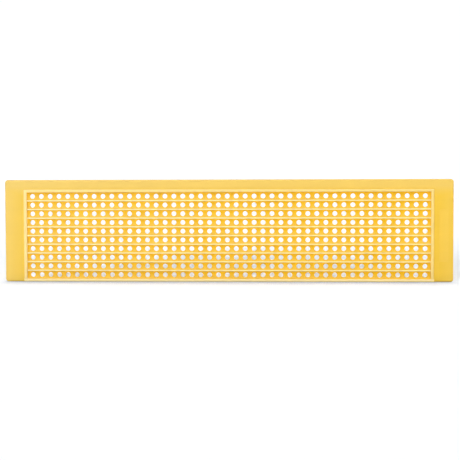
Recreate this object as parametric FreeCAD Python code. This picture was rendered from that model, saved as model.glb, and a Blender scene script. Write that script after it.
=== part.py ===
import FreeCAD, Part
import os
from FreeCAD import Vector

# A perforated bee grid for a hive entrance: a long plastic plate that stands on its lower edge.
# Rows of round bee holes lie between raised cross ribs, a raised rim runs round the holes, and a
# plain border above and a plain tab at each end carry the plate in its guides.
# Millimetres. X runs along the length, Y through the thickness with the front towards -Y, and Z up.
# The origin is under the middle of the plate, halfway through its thickness.

# ---- driving dimensions ----
LENGTH = 430.0  # over the end tabs
HEIGHT = 98.0
PLATE_THICKNESS = 3.0  # tabs and top border

HOLE_COLUMNS = 45
HOLE_ROWS = 10
COLUMN_PITCH = 8.56
ROW_PITCH = 8.4
HOLE_DIAMETER = 4.7  # lets a worker through, and keeps a queen and a worker's pollen load back
WEB_THICKNESS = 1.5

FIELD_LENGTH = 387.0  # the perforated field inside the rim
FIELD_HEIGHT = 83.2
RIM_SIDE_WIDTH = 3.0
RIM_BAR_HEIGHT = 2.7  # upper and lower bars
RIM_DEPTH = 6.0  # front to back, equally proud of both sides
RIB_WIDTH = 1.3
RIB_DEPTH = 4.0

TOP_CORNER_RADIUS = 3.0
BOTTOM_CORNER_RADIUS = 2.5
PLATE_EDGE_RADIUS = 1.4
RIM_EDGE_RADIUS = 0.9
RIB_EDGE_RADIUS = 0.45

BADGE_WIDTH = 8.4  # a blank raised panel on the right tab
BADGE_HEIGHT = 50.0
BADGE_RELIEF = 0.3
BADGE_CORNER_RADIUS = 1.0

# ---- sizes that follow ----
HALF_LENGTH = LENGTH / 2
HALF_FIELD = FIELD_LENGTH / 2
HALF_RIM = HALF_FIELD + RIM_SIDE_WIDTH
FIELD_BOTTOM = RIM_BAR_HEIGHT
FIELD_TOP = FIELD_BOTTOM + FIELD_HEIGHT
RIM_TOP = FIELD_TOP + RIM_BAR_HEIGHT
FIELD_MIDDLE = (FIELD_BOTTOM + FIELD_TOP) / 2
RIB_COUNT = HOLE_ROWS - 1
CUT_DEPTH = 2 * RIM_DEPTH  # deep enough to pass through everything
NEAR = 1e-6


def block(x0, x1, z0, z1, depth):
    """A box from x0 to x1 and z0 to z1, centred on Y = 0."""
    return Part.makeBox(x1 - x0, depth, z1 - z0, Vector(x0, -depth / 2, z0))


def prism(corners, depth):
    """A polygon of (x, z) corners, extruded equally to both sides of Y = 0."""
    points = [Vector(x, -depth / 2, z) for x, z in corners]
    return Part.Face(Part.makePolygon(points + points[:1])).extrude(Vector(0, depth, 0))


def edges_through(shape, x, z):
    """The straight edges that run through the thickness at the corner (x, z)."""
    found = []
    for edge in shape.Edges:
        ends = [vertex.Point for vertex in edge.Vertexes]
        if all(abs(end.x - x) < NEAR and abs(end.z - z) < NEAR for end in ends):
            found.append(edge)
    return found


def rounded_edges(shape, radius):
    """A plate with all its edges rounded, at the front and the back."""
    flat = [edge for edge in shape.Edges if edge.BoundBox.YLength < NEAR]
    return shape.makeFillet(radius, flat)


def rounded_bar(x0, x1, z0, z1, depth, radius):
    """A straight bar with its four long edges rounded."""
    bar = block(x0, x1, z0, z1, depth)
    length = max(x1 - x0, z1 - z0)
    long_edges = [edge for edge in bar.Edges if abs(edge.Length - length) < NEAR]
    return bar.makeFillet(radius, long_edges)


def plate():
    """The plain plate that the end tabs and the top border are parts of, with soft outer edges."""
    blank = block(-HALF_LENGTH, HALF_LENGTH, 0, HEIGHT, PLATE_THICKNESS)
    for z, radius in ((HEIGHT, TOP_CORNER_RADIUS), (0, BOTTOM_CORNER_RADIUS)):
        corners = edges_through(blank, -HALF_LENGTH, z) + edges_through(blank, HALF_LENGTH, z)
        blank = blank.makeFillet(radius, corners)
    return rounded_edges(blank, PLATE_EDGE_RADIUS)


def end_tab(side):
    """The plain tab at one end, outside the rim. Side is -1 for the left end and 1 for the right."""
    near_x, far_x = sorted((side * HALF_RIM, side * HALF_LENGTH))
    return plate().common(block(near_x, far_x, 0, HEIGHT, CUT_DEPTH))


def badge():
    """A blank panel raised on the front of the right tab, sunk a little into it so that they join."""
    front = PLATE_THICKNESS / 2 + BADGE_RELIEF
    left = (HALF_RIM + HALF_LENGTH) / 2 - BADGE_WIDTH / 2
    bottom = FIELD_MIDDLE - BADGE_HEIGHT / 2
    panel = Part.makeBox(BADGE_WIDTH, front, BADGE_HEIGHT, Vector(left, -front, bottom))
    upright = [edge for edge in panel.Edges if edge.BoundBox.YLength > NEAR]
    return panel.makeFillet(BADGE_CORNER_RADIUS, upright)


def right_end_tab():
    return end_tab(1).fuse(badge()).removeSplitter()


def top_border():
    """The plain strip above the rim, between the two tabs."""
    return plate().common(block(-HALF_RIM, HALF_RIM, RIM_TOP, HEIGHT, CUT_DEPTH))


def level_rim_bar(outer_z, inner_z):
    """The rim's upper or lower bar, mitred at both ends."""
    low, high = sorted((outer_z, inner_z))
    bar = rounded_bar(-HALF_RIM, HALF_RIM, low, high, RIM_DEPTH, RIM_EDGE_RADIUS)
    outer = [(-HALF_RIM, outer_z), (HALF_RIM, outer_z)]
    inner = [(HALF_FIELD, inner_z), (-HALF_FIELD, inner_z)]
    return bar.common(prism(outer + inner, CUT_DEPTH))


def upright_rim_bar(side):
    """The rim's bar at one end, mitred at its top and bottom. Side is -1 for the left, 1 for the right."""
    outer_x, inner_x = side * HALF_RIM, side * HALF_FIELD
    left, right = sorted((outer_x, inner_x))
    bar = rounded_bar(left, right, 0, RIM_TOP, RIM_DEPTH, RIM_EDGE_RADIUS)
    corners = [(outer_x, 0), (outer_x, RIM_TOP), (inner_x, FIELD_TOP), (inner_x, FIELD_BOTTOM)]
    return bar.common(prism(corners, CUT_DEPTH))


def rib_middle(number):
    """The height of a rib's middle, counted from 1 at the bottom."""
    return FIELD_MIDDLE + (number - HOLE_ROWS / 2) * ROW_PITCH


def cross_rib(number):
    """One rib between two rows of holes, proud of the web at the front and the back."""
    bottom = rib_middle(number) - RIB_WIDTH / 2
    return rounded_bar(-HALF_FIELD, HALF_FIELD, bottom, bottom + RIB_WIDTH, RIB_DEPTH, RIB_EDGE_RADIUS)


def hole_row(number):
    """One strip of web with its row of round holes, counted from 1 at the bottom."""
    bottom = FIELD_BOTTOM if number == 1 else rib_middle(number - 1) + RIB_WIDTH / 2
    top = FIELD_TOP if number == HOLE_ROWS else rib_middle(number) - RIB_WIDTH / 2
    middle = rib_middle(number) - ROW_PITCH / 2
    first_x = -(HOLE_COLUMNS - 1) / 2 * COLUMN_PITCH
    drills = []
    for column in range(HOLE_COLUMNS):
        start = Vector(first_x + column * COLUMN_PITCH, -CUT_DEPTH / 2, middle)
        drills.append(Part.makeCylinder(HOLE_DIAMETER / 2, CUT_DEPTH, start, Vector(0, 1, 0)))
    return block(-HALF_FIELD, HALF_FIELD, bottom, top, WEB_THICKNESS).cut(drills)


def only_solid(shape):
    """The single solid that a node is made of."""
    if len(shape.Solids) != 1 or not shape.isValid():
        raise ValueError("a node is one valid solid")
    return shape.Solids[0]


nodes = {
    "left_end_tab": end_tab(-1),
    "right_end_tab": right_end_tab(),
    "top_border": top_border(),
    "top_rim_bar": level_rim_bar(RIM_TOP, FIELD_TOP),
    "bottom_rim_bar": level_rim_bar(0, FIELD_BOTTOM),
    "left_rim_bar": upright_rim_bar(-1),
    "right_rim_bar": upright_rim_bar(1),
}
for number in range(1, RIB_COUNT + 1):
    nodes[f"cross_rib_{number}"] = cross_rib(number)
for number in range(1, HOLE_ROWS + 1):
    nodes[f"hole_row_{number}"] = hole_row(number)

os.makedirs("parts", exist_ok=True)
for name, shape in nodes.items():
    only_solid(shape).exportStep(f"parts/{name}.step")
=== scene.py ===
import math

import bmesh
import bpy
from mathutils import Matrix, Vector


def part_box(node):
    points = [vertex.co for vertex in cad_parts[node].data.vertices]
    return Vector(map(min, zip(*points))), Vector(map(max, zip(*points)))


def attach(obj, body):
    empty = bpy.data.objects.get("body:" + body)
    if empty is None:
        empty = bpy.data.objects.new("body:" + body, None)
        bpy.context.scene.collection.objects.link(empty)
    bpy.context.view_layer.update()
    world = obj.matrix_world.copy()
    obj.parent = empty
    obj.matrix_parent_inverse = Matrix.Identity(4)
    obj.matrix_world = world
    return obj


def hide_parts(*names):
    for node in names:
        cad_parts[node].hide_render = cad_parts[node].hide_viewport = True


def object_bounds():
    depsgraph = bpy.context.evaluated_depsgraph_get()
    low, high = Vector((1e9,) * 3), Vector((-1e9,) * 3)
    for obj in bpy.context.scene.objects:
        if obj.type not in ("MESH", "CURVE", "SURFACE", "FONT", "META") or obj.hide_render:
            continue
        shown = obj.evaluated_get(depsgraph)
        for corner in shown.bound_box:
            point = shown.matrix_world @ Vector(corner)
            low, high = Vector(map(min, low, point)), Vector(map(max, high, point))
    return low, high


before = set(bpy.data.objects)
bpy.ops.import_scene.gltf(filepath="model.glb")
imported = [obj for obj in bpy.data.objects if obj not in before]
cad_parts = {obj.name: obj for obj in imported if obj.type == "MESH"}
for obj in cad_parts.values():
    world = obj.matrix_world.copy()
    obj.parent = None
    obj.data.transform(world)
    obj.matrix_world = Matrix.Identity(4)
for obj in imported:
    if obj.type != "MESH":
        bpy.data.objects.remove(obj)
cad_low, cad_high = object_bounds()

# A perforated bee grid in yellow plastic, standing on its lower edge with its front towards -Y.
# It is one moulding. Its tabs, border, rim bars, ribs and rows of holes are made one by one, and
# they meet on flat, level places, so that no seam shows between them. Lengths are in metres.

MM = 0.001
NEAR = 0.001 * MM

HOLE_COUNT = 45  # in each row
HOLE_PITCH = 8.56 * MM
HOLE_RADIUS = 2.35 * MM
HOLE_SIDES = 20
HOLE_EASE = 0.15 * MM  # the softened edge of a hole

TOP_CORNER_RADIUS = 3.0 * MM
BOTTOM_CORNER_RADIUS = 2.5 * MM
PLATE_EDGE_RADIUS = 1.4 * MM
RIM_EDGE_RADIUS = 0.95 * MM
RIB_EDGE_RADIUS = 0.45 * MM
RIM_ROOT_RADIUS = 0.5 * MM
RIB_ROOT_RADIUS = 0.35 * MM
FOOT_MARGIN = 0.05 * MM  # the flat strip left beyond a root, where it meets the next piece

PANEL_SIZE = (8.4 * MM, 50.0 * MM)  # the blank raised panel on the right tab
PANEL_RELIEF = 0.3 * MM
PANEL_CORNER_RADIUS = 1.0 * MM
PANEL_EDGE_RADIUS = 0.2 * MM

RIB_COUNT = sum(name.startswith("cross_rib_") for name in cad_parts)
ROW_COUNT = sum(name.startswith("hole_row_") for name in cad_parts)

rim_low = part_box("bottom_rim_bar")[0]
rim_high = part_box("top_rim_bar")[1]
field_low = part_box("hole_row_1")[0]
field_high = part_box(f"hole_row_{ROW_COUNT}")[1]
plate_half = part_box("top_border")[1].y
web_half = field_high.y
RIM_FOOT = RIM_ROOT_RADIUS + FOOT_MARGIN
RIB_FOOT = RIB_ROOT_RADIUS + FOOT_MARGIN
RIB_SINK = 0.3 * MM  # how far a rib runs into the rim
row_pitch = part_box("hole_row_3")[0].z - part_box("hole_row_2")[0].z
first_row_middle = (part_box("hole_row_2")[0].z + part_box("hole_row_2")[1].z) / 2 - row_pitch


# ---------------------------------------------------------------- modelling

def block(name, low, high):
    """A plain block between two corners, to be shaped, with its object at the origin."""
    bpy.ops.object.select_all(action="DESELECT")
    bpy.ops.mesh.primitive_cube_add(size=1, location=(low + high) / 2)
    piece = bpy.context.object
    piece.name = name
    piece.data.name = name
    piece.scale = high - low
    bpy.ops.object.transform_apply(location=True, rotation=True, scale=True)
    return piece


def pick(kind, test):
    """In edit mode, selects the VERT, EDGE or FACE elements whose points pass a test."""
    bpy.ops.mesh.select_mode(type=kind)
    bpy.ops.mesh.select_all(action="DESELECT")
    mesh = bmesh.from_edit_mesh(bpy.context.edit_object.data)
    for element in {"VERT": mesh.verts, "EDGE": mesh.edges, "FACE": mesh.faces}[kind]:
        points = [element.co] if kind == "VERT" else [vertex.co for vertex in element.verts]
        if test(points):
            element.select_set(True)
    mesh.select_flush_mode()
    bmesh.update_edit_mesh(bpy.context.edit_object.data)


def level(points, axis, value):
    """True if every point has this value on an axis."""
    return all(abs(point[axis] - value) < NEAR for point in points)


def lies_at(points, place):
    """True if every point has the values that place gives for its axes."""
    return all(level(points, axis, value) for axis, value in place.items())


def between(points, axis, low, high):
    """True if every point lies from low to high on an axis."""
    return all(low - NEAR < point[axis] < high + NEAR for point in points)


def run_along(points, axis):
    """True for an edge that is parallel to an axis."""
    return all(level(points, other, points[0][other]) for other in range(3) if other != axis)


def bevel(radius, segments):
    bpy.ops.mesh.bevel(offset=radius, segments=segments, profile=0.5, affect="EDGES", clamp_overlap=False)


def trim(point, keep):
    """Cuts the piece in edit mode at a plane, keeps the side that keep points to, and closes the cut."""
    bpy.ops.mesh.select_all(action="SELECT")
    bpy.ops.mesh.bisect(plane_co=point, plane_no=keep, use_fill=True, clear_inner=True, threshold=NEAR)


def score(point, across):
    """Cuts new edges where a plane meets the piece in edit mode, and keeps both sides."""
    bpy.ops.mesh.select_all(action="SELECT")
    bpy.ops.mesh.bisect(plane_co=point, plane_no=across, threshold=NEAR)


def apply_modifier(piece, kind, **settings):
    modifier = piece.modifiers.new(kind.title(), kind)
    for name, value in settings.items():
        setattr(modifier, name, value)
    bpy.context.view_layer.objects.active = piece
    bpy.ops.object.modifier_apply(modifier=modifier.name)


def shade(piece):
    """Shades the rounded edges smoothly and keeps the level faces flat."""
    bpy.ops.object.select_all(action="DESELECT")
    piece.select_set(True)
    bpy.context.view_layer.objects.active = piece
    bpy.ops.object.shade_smooth_by_angle(angle=math.radians(50))
    apply_modifier(piece, "WEIGHTED_NORMAL", keep_sharp=True)
    return piece


def copy_up(piece, name, rise):
    """A copy of a piece, with its own mesh, moved up by a distance."""
    twin = piece.copy()
    twin.data = piece.data.copy()
    twin.name = twin.data.name = name
    twin.data.transform(Matrix.Translation((0, 0, rise)))
    bpy.context.scene.collection.objects.link(twin)
    return twin


def hang(piece, node, material):
    """Gives a piece its finish and hangs it on the frame in place of its CAD node."""
    piece.data.materials.clear()
    piece.data.materials.append(material)
    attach(piece, "root")
    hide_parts(node)


def plate(name):
    """The plain plate, with rounded corners and full round edges, before its parts are cut out."""
    low = Vector((cad_low.x, -plate_half, cad_low.z))
    high = Vector((cad_high.x, plate_half, cad_high.z))
    piece = block(name, low, high)
    bpy.ops.object.mode_set(mode="EDIT")
    for height, radius in ((cad_high.z, TOP_CORNER_RADIUS), (cad_low.z, BOTTOM_CORNER_RADIUS)):
        pick("EDGE", lambda points: run_along(points, 1) and level(points, 2, height))
        bevel(radius, 8)
    pick("EDGE", lambda points: level(points, 1, -plate_half) or level(points, 1, plate_half))
    bevel(PLATE_EDGE_RADIUS, 6)
    return piece


def end_tab(name, side):
    """The plain tab at one end. Side is -1 for the left end and 1 for the right."""
    piece = plate(name)
    trim((side * (rim_high.x + RIM_FOOT), 0, 0), (side, 0, 0))
    bpy.ops.object.mode_set(mode="OBJECT")
    return piece


def raised_panel(tab):
    """Adds the blank raised panel, with soft edges, to the front of the right tab."""
    middle = Vector(((rim_high.x + cad_high.x) / 2, -plate_half, (field_low.z + field_high.z) / 2))
    reach = Vector((PANEL_SIZE[0] / 2, PANEL_RELIEF, PANEL_SIZE[1] / 2))
    panel = block("panel", middle - reach, middle + reach)
    front = middle.y - PANEL_RELIEF
    bpy.ops.object.mode_set(mode="EDIT")
    pick("EDGE", lambda points: run_along(points, 1))
    bevel(PANEL_CORNER_RADIUS, 6)
    pick("EDGE", lambda points: level(points, 1, front))
    bevel(PANEL_EDGE_RADIUS, 3)
    bpy.ops.object.mode_set(mode="OBJECT")
    apply_modifier(tab, "BOOLEAN", object=panel, operation="UNION", solver="EXACT")
    bpy.data.objects.remove(panel)


def top_border(name):
    """The plain strip above the rim."""
    piece = plate(name)
    trim((-rim_high.x - RIM_FOOT, 0, 0), (1, 0, 0))
    trim((rim_high.x + RIM_FOOT, 0, 0), (-1, 0, 0))
    trim((0, 0, rim_high.z + RIM_FOOT), (0, 0, 1))
    bpy.ops.object.mode_set(mode="OBJECT")
    return piece


def ridge(name, low, high, along, sheets, crest_radius, root_radius):
    """A straight ridge that is proud of both sides of the sheet that it stands on, left in edit mode.

    low and high are its corners, without its roots. along is the axis that it runs on. sheets are the
    half thicknesses of the sheets at its low and high sides, or None where its side is free.
    """
    across = 2 - along
    edges = (low[across], high[across])
    foot = root_radius + FOOT_MARGIN
    start = Vector([value if axis != 1 else -web_half for axis, value in enumerate(low)])
    end = Vector([value if axis != 1 else web_half for axis, value in enumerate(high)])
    start[across] -= foot if sheets[0] else 0
    end[across] += foot if sheets[1] else 0
    piece = block(name, start, end)
    bpy.ops.object.mode_set(mode="EDIT")
    direction = Vector((0, 0, 0))
    direction[across] = 1
    for edge, sheet in zip(edges, sheets):
        if sheet:
            score(direction * edge, direction)
    raised_low = start[across] if sheets[0] == plate_half else edges[0]
    raised_high = end[across] if sheets[1] == plate_half else edges[1]
    for front in (-1, 1):
        steps = ((web_half, plate_half, raised_low, raised_high), (plate_half, high.y, *edges))
        for bottom, top, first, last in steps:
            pick(
                "FACE",
                lambda points: level(points, 1, front * bottom) and between(points, across, first, last),
            )
            bpy.ops.mesh.extrude_region_move(TRANSFORM_OT_translate={"value": (0, front * (top - bottom), 0)})
        for edge, sheet in zip(edges, sheets):
            place = {across: edge, 1: front * high.y}
            pick("EDGE", lambda points: run_along(points, along) and lies_at(points, place))
            bevel(crest_radius, 5)
            if sheet:
                place[1] = front * sheet
                pick("EDGE", lambda points: run_along(points, along) and lies_at(points, place))
                bevel(root_radius, 4)
    return piece


def mitre(side, end):
    """A point on the mitre at one of the rim's corners, and the direction from it to the upright bar."""
    outer = Vector((side * rim_high.x, 0, rim_high.z if end > 0 else rim_low.z))
    inner = Vector((side * field_high.x, 0, field_high.z if end > 0 else field_low.z))
    slope = inner - outer
    return outer, Vector((side * abs(slope.z), 0, -end * abs(slope.x)))


def level_rim_bar(name, end):
    """The rim's upper bar, end 1, or its lower bar, end -1, mitred at both ends."""
    low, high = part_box(name)
    sheets = (web_half, plate_half) if end > 0 else (None, web_half)
    over = Vector((3 * RIM_FOOT, 0, 0))
    piece = ridge(f"{name}_moulded", low - over, high + over, 0, sheets, RIM_EDGE_RADIUS, RIM_ROOT_RADIUS)
    for side in (-1, 1):
        point, towards_upright = mitre(side, end)
        trim(point, -towards_upright)
    bpy.ops.object.mode_set(mode="OBJECT")
    return piece


def upright_rim_bar(name, side):
    """The rim's bar at one end, mitred at its top and bottom. Side is -1 for the left, 1 for the right."""
    low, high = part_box(name)
    sheets = (plate_half, web_half) if side < 0 else (web_half, plate_half)
    over = Vector((0, 0, 3 * RIM_FOOT))
    piece = ridge(f"{name}_moulded", low - over, high + over, 2, sheets, RIM_EDGE_RADIUS, RIM_ROOT_RADIUS)
    for end in (-1, 1):
        trim(*mitre(side, end))
    trim(rim_low, (0, 0, 1))
    bpy.ops.object.mode_set(mode="OBJECT")
    return piece


def cross_rib(name):
    """One rib between two rows of holes. It sinks into the rim at both ends, and its feet dip there."""
    low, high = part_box(name)
    sink = Vector((RIB_SINK, 0, 0))
    sheets = (web_half, web_half)
    piece = ridge(f"{name}_moulded", low - sink, high + sink, 0, sheets, RIB_EDGE_RADIUS, RIB_ROOT_RADIUS)
    for side in (-1, 1):
        score((side * (field_high.x - RIM_FOOT), 0, 0), (1, 0, 0))
    tip = high.x + RIB_SINK
    pick("VERT", lambda points: abs(points[0].x) > tip - NEAR and abs(points[0].y) < web_half + NEAR)
    bpy.ops.transform.resize(value=(1, 0.5, 1), center_override=(0, 0, 0))
    bpy.ops.object.mode_set(mode="OBJECT")
    return piece


def drill(depth):
    """A drill for the first hole of the first row, as wide as the hole, and flared near the two faces."""
    over = 0.1 * MM
    sections = [(-depth - over, HOLE_EASE + over), (HOLE_EASE - depth, 0)]
    sections += [(-y, added) for y, added in reversed(sections)]
    middle = Vector((-(HOLE_COUNT - 1) / 2 * HOLE_PITCH, 0, first_row_middle))
    bpy.ops.object.select_all(action="DESELECT")
    bpy.ops.mesh.primitive_circle_add(
        vertices=HOLE_SIDES,
        radius=HOLE_RADIUS + sections[0][1],
        fill_type="NGON",
        location=middle + Vector((0, sections[0][0], 0)),
        rotation=(math.pi / 2, 0, 0),
    )
    bit = bpy.context.object
    bpy.ops.object.transform_apply(location=True, rotation=True, scale=True)
    bpy.ops.object.mode_set(mode="EDIT")
    bpy.ops.mesh.select_mode(type="FACE")
    bpy.ops.mesh.select_all(action="SELECT")
    for (y, added), (next_y, next_added) in zip(sections, sections[1:]):
        bpy.ops.mesh.extrude_region_move(TRANSFORM_OT_translate={"value": (0, next_y - y, 0)})
        growth = (HOLE_RADIUS + next_added) / (HOLE_RADIUS + added)
        bpy.ops.transform.resize(value=(growth, 1, growth), center_override=middle)
    bpy.ops.mesh.select_all(action="SELECT")
    bpy.ops.mesh.normals_make_consistent(inside=False)
    bpy.ops.object.mode_set(mode="OBJECT")
    return bit


def hole_row(number):
    """One strip of web, drilled with its row of round holes."""
    low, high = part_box(f"hole_row_{number}")
    low = low + Vector((RIM_FOOT, 0, RIM_FOOT if number == 1 else RIB_FOOT))
    high = high - Vector((RIM_FOOT, 0, RIM_FOOT if number == ROW_COUNT else RIB_FOOT))
    strip = block(f"hole_row_{number}_moulded", low, high)
    bits = drill(web_half)
    bits.data.transform(Matrix.Translation((0, 0, (number - 1) * row_pitch)))
    spacing = (HOLE_PITCH, 0, 0)
    apply_modifier(
        bits, "ARRAY", count=HOLE_COUNT, use_relative_offset=False, use_constant_offset=True,
        constant_offset_displace=spacing,
    )
    apply_modifier(strip, "BOOLEAN", object=bits, operation="DIFFERENCE", solver="EXACT")
    bpy.data.objects.remove(bits)
    return strip


# ---------------------------------------------------------------- finishes

def linear(code):
    """A linear colour with alpha from an sRGB hex value."""
    values = [int(code[i : i + 2], 16) / 255 for i in (1, 3, 5)]
    return [v / 12.92 if v <= 0.04045 else ((v + 0.055) / 1.055) ** 2.4 for v in values] + [1.0]


def add(tree, kind, inputs, **settings):
    """Adds a node. An input is a value, or an output socket that is linked to it."""
    made = tree.nodes.new(kind)
    for name, value in settings.items():
        setattr(made, name, value)
    for key, value in inputs.items():
        if isinstance(value, bpy.types.NodeSocket):
            tree.links.new(value, made.inputs[key])
        else:
            made.inputs[key].default_value = value
    return made


def ramp(tree, value, reach, stops):
    """The colour for a value that runs over reach. stops are pairs of a place from 0 to 1 and a colour."""
    share = add(tree, "ShaderNodeMapRange", {"Value": value, "From Min": reach[0], "From Max": reach[1]})
    made = add(tree, "ShaderNodeValToRGB", {0: share.outputs[0]})
    elements = made.color_ramp.elements
    while len(elements) < len(stops):
        elements.new(1.0)
    for element, (position, code) in zip(elements, stops):
        element.position = position
        element.color = linear(code)
    return made.outputs[0]


def painted_light_at_ends_and_top(tree, split):
    """Painted light: white near the plate's ends and along its top edge, where the plate is painted paler as
    if lit there, and black elsewhere.
    """
    left_reach = (cad_low.x, cad_low.x + PAINTED_LIGHT_LEFT_END)
    left = ramp(tree, split.outputs["X"], left_reach, ((0.0, "#ececec"), (1.0, "#000000")))
    right_reach = (cad_high.x - PAINTED_LIGHT_RIGHT_END, cad_high.x)
    right_stops = ((0.0, "#000000"), (0.6, "#888888"), (0.88, "#888888"), (1.0, "#000000"))
    right = ramp(tree, split.outputs["X"], right_reach, right_stops)
    top_reach = [cad_high.z - drop for drop in PAINTED_LIGHT_TOP]
    near_end = add(tree, "ShaderNodeMath", {0: left, 1: right}, operation="MAXIMUM").outputs[0]
    near_top = ramp(tree, split.outputs["Z"], top_reach, ((0.0, "#000000"), (1.0, "#ffffff")))
    return add(tree, "ShaderNodeMath", {0: near_end, 1: near_top}, operation="MAXIMUM").outputs[0]


def painted_light_to_the_left(tree, split):
    """Painted light: half white on a crest's left end, where it is painted paler as if lit from the left, and
    black at its right end and on its foot.
    """
    leftness = ramp(tree, split.outputs["X"], (cad_low.x, cad_high.x), ((0.0, "#bcbcbc"), (1.0, "#000000")))
    proud = add(tree, "ShaderNodeMath", {0: split.outputs["Y"]}, operation="ABSOLUTE").outputs[0]
    crest = ramp(tree, proud, (1.3 * MM, 2.0 * MM), ((0.0, "#000000"), (1.0, "#ffffff")))
    return add(tree, "ShaderNodeMath", {0: leftness, 1: crest}, operation="MULTIPLY").outputs[0]


def painted_light_on_rim(tree, split):
    """Painted light: white along the rim's foot and on the inner side of its left bar, and half white to the
    left, where the rim is painted paler as if lit there.
    """
    foot_stops = ((0.15, "#000000"), (0.4, "#ffffff"), (0.8, "#ffffff"), (1.0, "#000000"))
    foot = ramp(tree, split.outputs["Z"], (0, 3 * MM), foot_stops)
    side_stops = ((0.0, "#000000"), (0.2, "#ffffff"), (0.95, "#ffffff"), (1.0, "#000000"))
    side = ramp(tree, split.outputs["X"], (field_low.x - 0.9 * MM, field_low.x + 1.5 * MM), side_stops)
    proud = add(tree, "ShaderNodeMath", {0: split.outputs["Y"]}, operation="ABSOLUTE").outputs[0]
    wall = ramp(tree, proud, (0.9 * MM, 1.4 * MM), ((0.0, "#000000"), (1.0, "#ffffff")))
    top_stops = ((0.0, "#ffffff"), (1.0, "#000000"))
    below_top = ramp(tree, split.outputs["Z"], (field_high.z - 0.8 * MM, field_high.z), top_stops)
    side_wall = add(tree, "ShaderNodeMath", {0: side, 1: wall}, operation="MULTIPLY").outputs[0]
    inner = add(tree, "ShaderNodeMath", {0: side_wall, 1: below_top}, operation="MULTIPLY").outputs[0]
    pale = add(tree, "ShaderNodeMath", {0: foot, 1: inner}, operation="MAXIMUM").outputs[0]
    leftness = painted_light_to_the_left(tree, split)
    return add(tree, "ShaderNodeMath", {0: pale, 1: leftness}, operation="MAXIMUM").outputs[0]


def painted_light_above_each_rib(tree, split):
    """Painted light: white just above each rib, where the web is painted paler as if lit from above, and
    black from the next rib's foot down.
    """
    height = add(
        tree,
        "ShaderNodeMath",
        {0: split.outputs["Z"], 1: -(first_row_middle + row_pitch / 2)},
        operation="ADD",
    )
    rows = add(tree, "ShaderNodeMath", {0: height.outputs[0], 1: row_pitch}, operation="DIVIDE")
    share = add(tree, "ShaderNodeMath", {0: rows.outputs[0]}, operation="FRACT")
    return ramp(tree, share.outputs[0], (0.12, 0.6), ((0.0, "#ffffff"), (1.0, "#000000")))


def injection_moulded_polypropylene(name, shades, roughness, mottling, tints, painted_light_code, painted_light_where):
    """Yellow polypropylene from a satin mould.

    The colour is graded by half thickness: deeper on the thin web, at the roots of raised parts and on the
    plate's rounded edges, a little paler on the raised panel, and paler on the crests of the rim and ribs.
    This grading is partly the plastic's own colour and partly painted light and shade: painted shade in the
    recesses and on edges turned from the lamps, and painted light on the crests. shades are pairs of a half
    thickness in mm and the sRGB colour there. The last two arguments are the colour of the painted light
    and the function that finds where it is laid on. Faint streaks of pigment follow the flow of the melt
    along the length. mottling is the share of fine specks in them, and tints are how dark and how bright
    they make the colour. The mould leaves a satin grain, whose gloss varies over roughness, a pair.
    """
    material = bpy.data.materials.new(name)
    material.use_nodes = True
    tree = material.node_tree
    shader = tree.nodes["Principled BSDF"]
    place = add(tree, "ShaderNodeTexCoord", {}).outputs["Object"]
    split = add(tree, "ShaderNodeSeparateXYZ", {0: place})

    thinnest, thickest = shades[0][0], shades[-1][0]
    half_thickness = add(tree, "ShaderNodeMath", {0: split.outputs["Y"]}, operation="ABSOLUTE")
    colour = ramp(
        tree,
        half_thickness.outputs[0],
        (thinnest * MM, thickest * MM),
        [((depth - thinnest) / (thickest - thinnest), code) for depth, code in shades],
    )
    blend = add(
        tree,
        "ShaderNodeMix",
        {"Factor": painted_light_where(tree, split), "A": colour, "B": linear(painted_light_code)},
        data_type="RGBA",
    )
    colour = blend.outputs["Result"]

    # Streaks about 80 mm long and 16 mm high, and specks of 3 mm.
    flow = add(tree, "ShaderNodeMapping", {"Vector": place, "Scale": (12, 40, 60)})
    streaks = add(tree, "ShaderNodeTexNoise", {"Vector": flow.outputs[0], "Scale": 1.0, "Detail": 3.0})
    mottle = add(tree, "ShaderNodeTexNoise", {"Vector": place, "Scale": 350.0, "Detail": 1.0})
    pigment = add(
        tree,
        "ShaderNodeMix",
        {"Factor": mottling, "A": streaks.outputs[0], "B": mottle.outputs[0]},
        data_type="FLOAT",
    )
    tint = add(
        tree,
        "ShaderNodeMapRange",
        {
            "Value": pigment.outputs["Result"],
            "From Min": 0.35,
            "From Max": 0.65,
            "To Min": tints[0],
            "To Max": tints[1],
        },
    )
    tinted = add(tree, "ShaderNodeVectorMath", {0: colour, "Scale": tint.outputs[0]}, operation="SCALE")
    tree.links.new(tinted.outputs[0], shader.inputs["Base Color"])

    grain = add(tree, "ShaderNodeTexNoise", {"Vector": place, "Scale": 1800.0, "Detail": 2.0})  # 0.5 mm
    gloss = add(
        tree,
        "ShaderNodeMapRange",
        {"Value": grain.outputs[0], "To Min": roughness[0], "To Max": roughness[1]},
    )
    tree.links.new(gloss.outputs[0], shader.inputs["Roughness"])
    skin = add(tree, "ShaderNodeBump", {"Height": grain.outputs[0], "Strength": 0.25, "Distance": 0.03 * MM})
    tree.links.new(skin.outputs[0], shader.inputs["Normal"])
    shader.inputs["IOR"].default_value = 1.49
    shader.inputs["Specular IOR Level"].default_value = 0.2
    return material


# Painted light: the plate is painted paler this far in from its left and right ends, and below its top edge.
PAINTED_LIGHT_LEFT_END = 18 * MM
PAINTED_LIGHT_RIGHT_END = 13 * MM
PAINTED_LIGHT_TOP = (16 * MM, 6 * MM)  # below the top edge, where the paleness starts and where it is full

WEB_YELLOW = "#eeb400"
# Painted light: the paler web yellow just above each rib.
WEB_PAINTED_LIGHT_YELLOW = "#ecbe42"
PLATE_YELLOW = "#e8bd3a"
# Painted light: the plate's paler yellow near its ends and its top edge.
PLATE_PAINTED_LIGHT_YELLOW = "#e8c15a"
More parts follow.
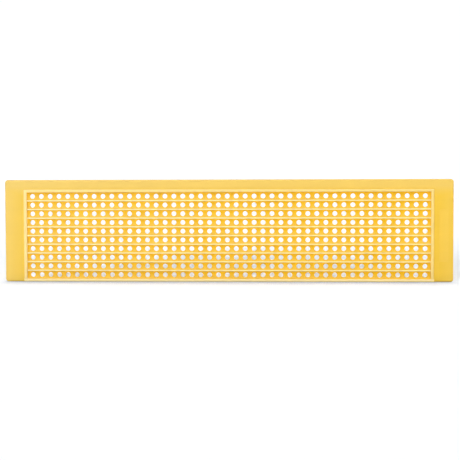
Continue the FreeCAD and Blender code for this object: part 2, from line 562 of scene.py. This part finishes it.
# Painted shade: the deeper yellow on the plate's rounded edges, which turn away from the lamps.
PLATE_EDGE_PAINTED_SHADE = "#f0b400"
PANEL_YELLOW = "#eabf42"
# Painted light: the crest yellows of the rim and the ribs are paler than the plate.
RIM_YELLOW = "#eecf7a"
# Painted light: the paler rim yellow along its foot, on its left bar's inner side and towards the left.
RIM_PAINTED_LIGHT_YELLOW = "#fbe09a"
RIB_YELLOW = "#f6e296"
# Painted light: the paler rib yellow towards the left end of each crest.
RIB_PAINTED_LIGHT_YELLOW = "#f8e9b3"
SATIN = (0.44, 0.56)
DULL_SATIN = (0.62, 0.74)  # duller, on the rim and the ribs
EVEN = (0.98, 1.015)
MOTTLED = (0.96, 1.04)

# The plate: painted shade on its rounded edges, and painted light near its ends and its top edge.
plate_plastic = injection_moulded_polypropylene(
    "moulded_polypropylene_plate",
    ((0.5, PLATE_EDGE_PAINTED_SHADE), (1.45, PLATE_YELLOW), (1.55, PLATE_YELLOW), (1.75, PANEL_YELLOW)),
    SATIN,
    0.15,
    EVEN,
    PLATE_PAINTED_LIGHT_YELLOW,
    painted_light_at_ends_and_top,
)
# The web: painted light just above each rib.
web_plastic = injection_moulded_polypropylene(
    "moulded_polypropylene_web",
    ((0.7, WEB_YELLOW), (0.75, WEB_YELLOW)),
    SATIN,
    0.6,
    MOTTLED,
    WEB_PAINTED_LIGHT_YELLOW,
    painted_light_above_each_rib,
)
# The rim: painted shade at its roots, and painted light on its crest, along its foot, on its left bar's inner
# side and towards the left.
rim_plastic = injection_moulded_polypropylene(
    "moulded_polypropylene_rim",
    ((0.75, WEB_YELLOW), (1.5, PLATE_YELLOW), (1.9, PLATE_YELLOW), (2.5, RIM_YELLOW)),
    DULL_SATIN,
    0.4,
    EVEN,
    RIM_PAINTED_LIGHT_YELLOW,
    painted_light_on_rim,
)
# The ribs: painted shade at their roots, and painted light on their crests and towards the left.
rib_plastic = injection_moulded_polypropylene(
    "moulded_polypropylene_rib",
    ((0.75, WEB_YELLOW), (1.1, PLATE_YELLOW), (1.8, RIB_YELLOW)),
    DULL_SATIN,
    0.5,
    MOTTLED,
    RIB_PAINTED_LIGHT_YELLOW,
    painted_light_to_the_left,
)

# ---------------------------------------------------------------- the pieces

hang(shade(end_tab("left_end_tab_moulded", -1)), "left_end_tab", plate_plastic)
right_tab = end_tab("right_end_tab_moulded", 1)
raised_panel(right_tab)
hang(shade(right_tab), "right_end_tab", plate_plastic)
hang(shade(top_border("top_border_moulded")), "top_border", plate_plastic)
hang(shade(level_rim_bar("top_rim_bar", 1)), "top_rim_bar", rim_plastic)
hang(shade(level_rim_bar("bottom_rim_bar", -1)), "bottom_rim_bar", rim_plastic)
hang(shade(upright_rim_bar("left_rim_bar", -1)), "left_rim_bar", rim_plastic)
hang(shade(upright_rim_bar("right_rim_bar", 1)), "right_rim_bar", rim_plastic)

rib = shade(cross_rib("cross_rib_1"))
for number in range(1, RIB_COUNT + 1):
    twin = rib if number == 1 else copy_up(rib, f"cross_rib_{number}_moulded", (number - 1) * row_pitch)
    hang(twin, f"cross_rib_{number}", rib_plastic)

row = shade(hole_row(2))  # the rows between two ribs are alike, and those at the rim are their own size
for number in range(1, ROW_COUNT + 1):
    if number in (1, ROW_COUNT):
        strip = shade(hole_row(number))
    else:
        strip = row if number == 2 else copy_up(row, f"hole_row_{number}_moulded", (number - 2) * row_pitch)
    hang(strip, f"hole_row_{number}", web_plastic)


# ---------------------------------------------------------------- floor, light and camera

def floor():
    """A plain pale floor that runs out of sight on every side, with a painted shadow close under what stands
    on it.
    """
    bpy.ops.object.select_all(action="DESELECT")
    bpy.ops.mesh.primitive_plane_add(size=12, location=(0, 0, cad_low.z))
    ground = bpy.context.object
    ground.name = "studio_floor"
    ground.data.materials.append(matt_white_paint_with_painted_shadow())
    return ground


def matt_white_paint_with_painted_shadow():
    """White paint with no gloss, with a painted shadow: it goes bluish grey close under things that stand on
    it.
    """
    paint = bpy.data.materials.new("matt_white_paint_with_painted_shadow")
    paint.use_nodes = True
    tree = paint.node_tree
    shader = tree.nodes["Principled BSDF"]
    # Painted contact shadow: the paint darkens where little of the room reaches it within 60 mm.
    openness = add(tree, "ShaderNodeAmbientOcclusion", {"Distance": 60 * MM}, samples=8)
    painted_shadow_greys = ((0.5, "#b6c4de"), (0.65, "#e2eafa"), (0.9, "#f6f9fe"), (1.0, "#fcfdfe"))
    tree.links.new(ramp(tree, openness.outputs["AO"], (0, 1), painted_shadow_greys), shader.inputs["Base Color"])
    shader.inputs["Roughness"].default_value = 0.9
    shader.inputs["Specular IOR Level"].default_value = 0.0
    return paint


def softbox(name, place, aim, size, watts, code):
    """A rectangular lamp with a soft front. size is its width and height."""
    lamp = bpy.data.lights.new(name, "AREA")
    lamp.shape = "RECTANGLE"
    lamp.size, lamp.size_y = size
    lamp.energy = watts
    lamp.color = linear(code)[:3]
    stand = bpy.data.objects.new(name, lamp)
    stand.location = place
    stand.rotation_euler = (Vector(aim) - Vector(place)).to_track_quat("-Z", "Y").to_euler()
    bpy.context.scene.collection.objects.link(stand)
    return stand


def far_lamp(name, azimuth, height, softness, strength, code):
    """A lamp far away. Its azimuth is 0 in front and positive to the right. Angles are in degrees."""
    lamp = bpy.data.lights.new(name, "SUN")
    lamp.angle = math.radians(softness)
    lamp.energy = strength
    lamp.color = linear(code)[:3]
    stand = bpy.data.objects.new(name, lamp)
    stand.rotation_euler = (math.radians(90 - height), 0, math.radians(azimuth))
    bpy.context.scene.collection.objects.link(stand)
    return stand


def light_only(lamps, thing, state):
    """Lets lamps light one thing only, state INCLUDE, or all but it, state EXCLUDE."""
    lit = bpy.data.collections.new(f"{state.lower()}_{thing.name}")
    lit.objects.link(thing)
    lit.collection_objects[0].light_linking.link_state = state
    for lamp in lamps:
        lamp.light_linking.receiver_collection = lit


def room():
    """White walls all round, and a grey ceiling that is a little brighter at the back than in front."""
    world = bpy.data.worlds.new("white_room")
    world.use_nodes = True
    tree = world.node_tree
    way = add(tree, "ShaderNodeSeparateXYZ", {0: add(tree, "ShaderNodeTexCoord", {}).outputs["Generated"]})
    ceiling = add(
        tree,
        "ShaderNodeMapRange",
        {
            "Value": way.outputs["Y"],
            "From Min": -0.2,
            "From Max": 0.3,
            "To Min": FRONT_LIGHT,
            "To Max": BACK_LIGHT,
        },
    )
    walls = add(
        tree,
        "ShaderNodeMapRange",
        {"Value": way.outputs["Z"], "From Min": 0.2, "From Max": 0.3, "To Min": WALL_LIGHT, "To Max": 0.0},
    )
    brightest = add(tree, "ShaderNodeMath", {0: ceiling.outputs[0], 1: walls.outputs[0]}, operation="MAXIMUM")
    background = tree.nodes["Background"]
    background.inputs["Color"].default_value = linear("#f8fbff")
    tree.links.new(brightest.outputs[0], background.inputs["Strength"])
    bpy.context.scene.world = world


def camera():
    """A long lens almost square on, a little above and to the right of the middle."""
    lens = bpy.data.cameras.new("camera")
    lens.sensor_width = 36
    lens.lens = 78.26
    lens.clip_start = 0.05
    lens.clip_end = 50
    stand = bpy.data.objects.new("camera", lens)
    stand.location = (45.06 * MM, -957.4 * MM, 93.22 * MM)
    stand.rotation_euler = [math.radians(turn) for turn in (87.392, 0.144, 2.535)]
    bpy.context.scene.collection.objects.link(stand)
    bpy.context.scene.camera = stand


FRONT_LIGHT = 0.36
BACK_LIGHT = 0.45
WALL_LIGHT = 1.08

ground = floor()
key = far_lamp("key", -9, 45, 50, 1.75, "#ffffff")
sheen = softbox("sheen_panel", (-1.2, -1.1, 0.7), (-0.05, 0, 0.05), (1.0, 1.0), 100, "#c0f4ff")
sheen.visible_diffuse = False
back_fill = far_lamp("back_fill", 160, 28, 60, 1.1, "#ffffff")
light_only([key, sheen, back_fill], ground, "EXCLUDE")
low_left = far_lamp("low_left", -22, 11, 16, 4.1, "#fdfeff")
low_right = far_lamp("low_right", 16, 11, 16, 2.6, "#fdfeff")
light_only([low_left, low_right], ground, "INCLUDE")
top_lamp = far_lamp("top", 180, 78, 18, 0.75, "#ffffff")
room()
camera()
bpy.context.scene.view_settings.view_transform = "Standard"
